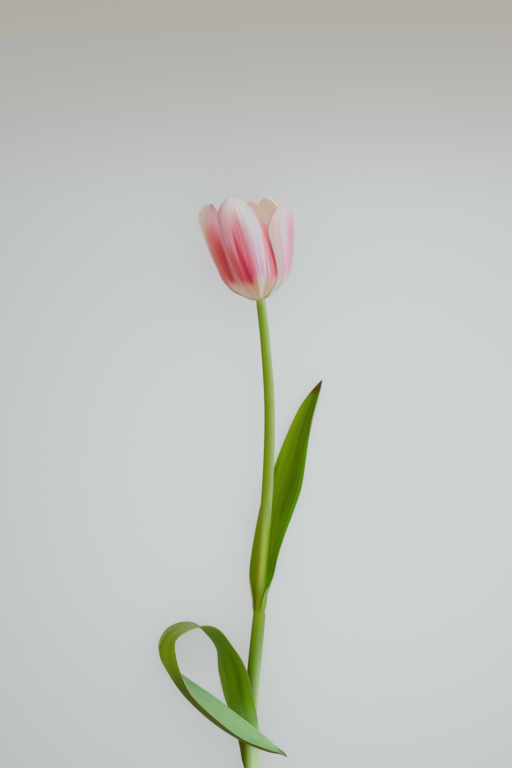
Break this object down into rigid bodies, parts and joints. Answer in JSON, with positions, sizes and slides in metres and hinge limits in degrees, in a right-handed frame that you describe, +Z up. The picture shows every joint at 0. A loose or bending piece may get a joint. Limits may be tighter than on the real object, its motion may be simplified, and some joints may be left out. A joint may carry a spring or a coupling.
{
  "type": "cut tulip",
  "caption": "Cut tulip lying on its side: slim bowed stem, egg-shaped bloom of smooth-edged pink and white petals, one slender leaf and one that loops round and crosses the stem",
  "frame": {"origin": "on the table, under the middle of the flower's box", "axes": "+Y runs along the stem from the cut end to the bloom, +X to the side that the slender upper leaf leans to, +Z up from the table; the bloom's long axis leans 10 degrees from +Y towards -X"},
  "size_m": [0.0968, 0.3722, 0.0542],
  "materials": {
    "stem": "satin, pale green with an olive side",
    "leaf": "satin, parallel veined, with a pale margin and a dried brown tip",
    "petal": "satin, white and pale pink with crimson flames",
    "pistil": "matt pale green",
    "stamen": "powdery yellow"
  },
  "bodies": {
    "root": {"stem": "stem", "leaf_lower": "leaf", "leaf_upper": "leaf", "petal_front": "petal", "petal_right": "petal", "petal_back": "petal", "petal_left": "petal", "petal_front_right": "petal", "petal_back_inner": "petal", "pistil": "pistil", "stamens": "stamen"}
  },
  "joints": []
}
